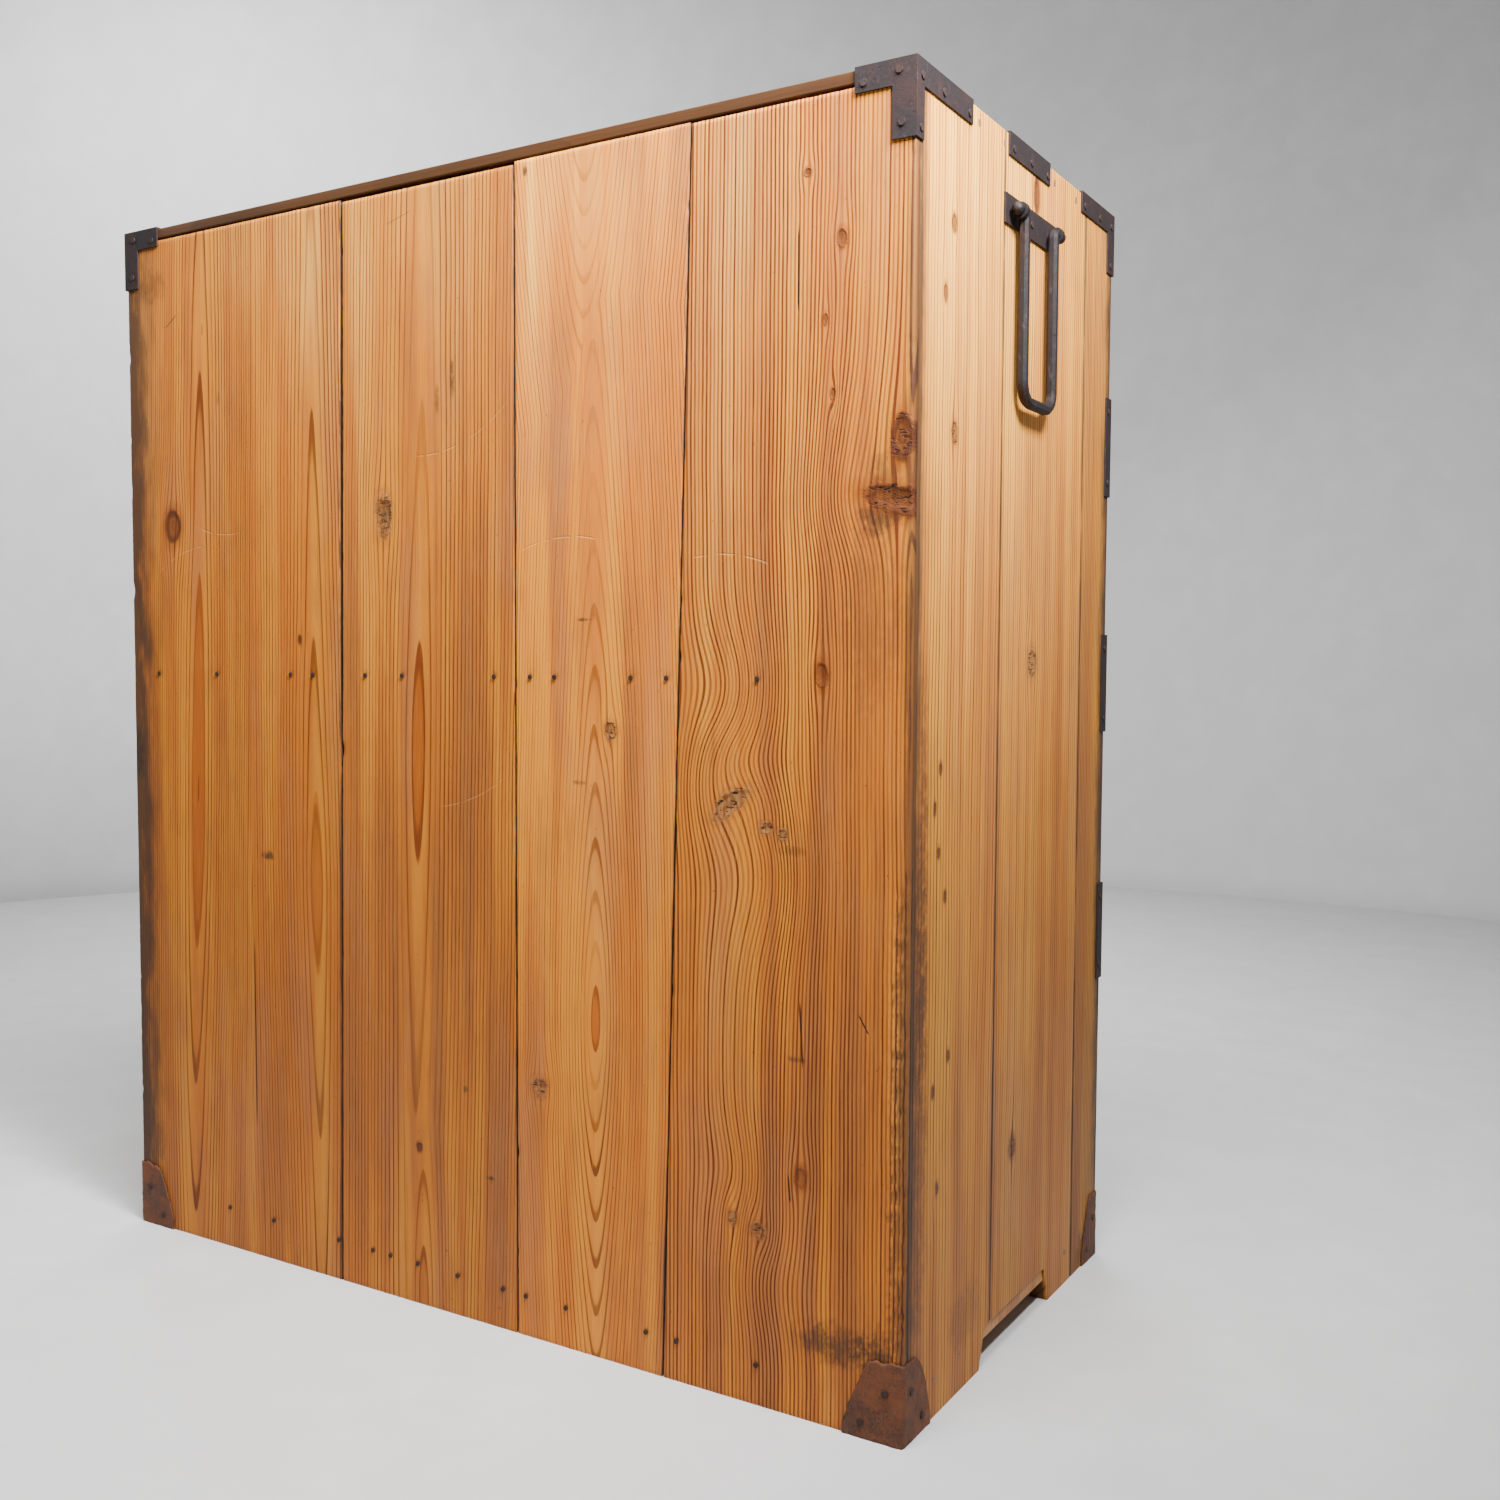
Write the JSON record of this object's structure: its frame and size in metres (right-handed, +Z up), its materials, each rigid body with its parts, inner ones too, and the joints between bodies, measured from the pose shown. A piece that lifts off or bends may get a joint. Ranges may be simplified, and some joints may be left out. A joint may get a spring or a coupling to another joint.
{
  "type": "apothecary cabinet",
  "caption": "Tall Japanese cedar apothecary chest with graduated tiers of sliding drawers, iron corner fittings and a swinging carrying handle on each side.",
  "frame": {"origin": "on the floor, below the middle of the chest with its handles, knobs and back irons", "axes": "+Z up, the drawer fronts look along -Y, the nailed back along +Y, +X to the right seen from the front"},
  "size_m": [0.9336, 0.4832, 1.0466],
  "materials": {
    "cedar_case": "old oiled cedar, satin",
    "cedar_sides": "old oiled cedar, satin",
    "cedar_inside": "bare cedar, dry",
    "cedar_drawers": "old oiled cedar, satin",
    "peg_wood": "dark hardwood",
    "dark_iron": "forged, black-brown, worn",
    "rusty_iron": "sheet iron, rusted"
  },
  "bodies": {
    "case": {"back_board_1": "cedar_case", "back_board_2": "cedar_case", "back_board_3": "cedar_case", "back_board_4": "cedar_case", "left_side_boards": "cedar_sides", "right_side_boards": "cedar_sides", "top_board": "cedar_case", "bottom_board": "cedar_inside", "front_rails": "cedar_case", "tier_shelves": "cedar_inside", "row_shelves": "cedar_inside", "drawer_dividers": "cedar_inside", "top_corner_irons": "dark_iron", "top_edge_straps": "dark_iron", "rail_end_irons": "dark_iron", "foot_irons": "rusty_iron", "handle_plates": "dark_iron", "handle_eyes": "dark_iron", "iron_nails": "dark_iron", "wooden_pegs": "peg_wood"},
    "left_handle": {"left_handle": "dark_iron"},
    "right_handle": {"right_handle": "dark_iron"},
    "drawer_1_1": {"drawer_1_1": "cedar_drawers", "knob_1_1": "dark_iron"},
    "drawer_1_2": {"drawer_1_2": "cedar_drawers", "knob_1_2": "dark_iron"},
    "drawer_1_3": {"drawer_1_3": "cedar_drawers", "knob_1_3": "dark_iron"},
    "drawer_1_4": {"drawer_1_4": "cedar_drawers", "knob_1_4": "dark_iron"},
    "drawer_2_1": {"drawer_2_1": "cedar_drawers", "knob_2_1": "dark_iron"},
    "drawer_2_2": {"drawer_2_2": "cedar_drawers", "knob_2_2": "dark_iron"},
    "drawer_2_3": {"drawer_2_3": "cedar_drawers", "knob_2_3": "dark_iron"},
    "drawer_2_4": {"drawer_2_4": "cedar_drawers", "knob_2_4": "dark_iron"},
    "drawer_3_1": {"drawer_3_1": "cedar_drawers", "knob_3_1": "dark_iron"},
    "drawer_3_2": {"drawer_3_2": "cedar_drawers", "knob_3_2": "dark_iron"},
    "drawer_3_3": {"drawer_3_3": "cedar_drawers", "knob_3_3": "dark_iron"},
    "drawer_4_1": {"drawer_4_1": "cedar_drawers", "knob_4_1": "dark_iron"},
    "drawer_4_2": {"drawer_4_2": "cedar_drawers", "knob_4_2": "dark_iron"},
    "drawer_4_3": {"drawer_4_3": "cedar_drawers", "knob_4_3": "dark_iron"},
    "drawer_5_1": {"drawer_5_1": "cedar_drawers", "pull_plates_5_1": "dark_iron"},
    "drawer_5_2": {"drawer_5_2": "cedar_drawers", "pull_plates_5_2": "dark_iron"},
    "drawer_6_1": {"drawer_6_1": "cedar_drawers", "pull_plates_6_1": "dark_iron"},
    "bail_5_1": {"bail_5_1": "dark_iron"},
    "bail_5_2": {"bail_5_2": "dark_iron"},
    "bail_6_1": {"bail_6_1": "dark_iron"},
    "bail_6_2": {"bail_6_2": "dark_iron"}
  },
  "joints": [
    {"name": "left_handle_swing", "type": "hinge", "parent": "case", "child": "left_handle", "pos_m": [-0.46, 0.007, 0.982], "axis": [0, 1, 0], "range_deg": [0, 175]},
    {"name": "right_handle_swing", "type": "hinge", "parent": "case", "child": "right_handle", "pos_m": [0.46, 0.007, 0.982], "axis": [0, -1, 0], "range_deg": [0, 175]},
    {"name": "drawer_1_1_slide", "type": "slide", "parent": "case", "child": "drawer_1_1", "axis": [0, -1, 0], "range_m": [0, 0.33]},
    {"name": "drawer_1_2_slide", "type": "slide", "parent": "case", "child": "drawer_1_2", "axis": [0, -1, 0], "range_m": [0, 0.33]},
    {"name": "drawer_1_3_slide", "type": "slide", "parent": "case", "child": "drawer_1_3", "axis": [0, -1, 0], "range_m": [0, 0.33]},
    {"name": "drawer_1_4_slide", "type": "slide", "parent": "case", "child": "drawer_1_4", "axis": [0, -1, 0], "range_m": [0, 0.33]},
    {"name": "drawer_2_1_slide", "type": "slide", "parent": "case", "child": "drawer_2_1", "axis": [0, -1, 0], "range_m": [0, 0.33]},
    {"name": "drawer_2_2_slide", "type": "slide", "parent": "case", "child": "drawer_2_2", "axis": [0, -1, 0], "range_m": [0, 0.33]},
    {"name": "drawer_2_3_slide", "type": "slide", "parent": "case", "child": "drawer_2_3", "axis": [0, -1, 0], "range_m": [0, 0.33]},
    {"name": "drawer_2_4_slide", "type": "slide", "parent": "case", "child": "drawer_2_4", "axis": [0, -1, 0], "range_m": [0, 0.33]},
    {"name": "drawer_3_1_slide", "type": "slide", "parent": "case", "child": "drawer_3_1", "axis": [0, -1, 0], "range_m": [0, 0.33]},
    {"name": "drawer_3_2_slide", "type": "slide", "parent": "case", "child": "drawer_3_2", "axis": [0, -1, 0], "range_m": [0, 0.33]},
    {"name": "drawer_3_3_slide", "type": "slide", "parent": "case", "child": "drawer_3_3", "axis": [0, -1, 0], "range_m": [0, 0.33]},
    {"name": "drawer_4_1_slide", "type": "slide", "parent": "case", "child": "drawer_4_1", "axis": [0, -1, 0], "range_m": [0, 0.33]},
    {"name": "drawer_4_2_slide", "type": "slide", "parent": "case", "child": "drawer_4_2", "axis": [0, -1, 0], "range_m": [0, 0.33]},
    {"name": "drawer_4_3_slide", "type": "slide", "parent": "case", "child": "drawer_4_3", "axis": [0, -1, 0], "range_m": [0, 0.33]},
    {"name": "drawer_5_1_slide", "type": "slide", "parent": "case", "child": "drawer_5_1", "axis": [0, -1, 0], "range_m": [0, 0.32]},
    {"name": "drawer_5_2_slide", "type": "slide", "parent": "case", "child": "drawer_5_2", "axis": [0, -1, 0], "range_m": [0, 0.32]},
    {"name": "drawer_6_1_slide", "type": "slide", "parent": "case", "child": "drawer_6_1", "axis": [0, -1, 0], "range_m": [0, 0.3]},
    {"name": "bail_5_1_swing", "type": "hinge", "parent": "drawer_5_1", "child": "bail_5_1", "pos_m": [-0.221, -0.226, 0.48], "axis": [-1, 0, 0], "range_deg": [0, 170]},
    {"name": "bail_5_2_swing", "type": "hinge", "parent": "drawer_5_2", "child": "bail_5_2", "pos_m": [0.221, -0.226, 0.48], "axis": [-1, 0, 0], "range_deg": [0, 170]},
    {"name": "bail_6_1_swing", "type": "hinge", "parent": "drawer_6_1", "child": "bail_6_1", "pos_m": [-0.221, -0.226, 0.205], "axis": [-1, 0, 0], "range_deg": [0, 170]},
    {"name": "bail_6_2_swing", "type": "hinge", "parent": "drawer_6_1", "child": "bail_6_2", "pos_m": [0.221, -0.226, 0.205], "axis": [-1, 0, 0], "range_deg": [0, 170]}
  ]
}
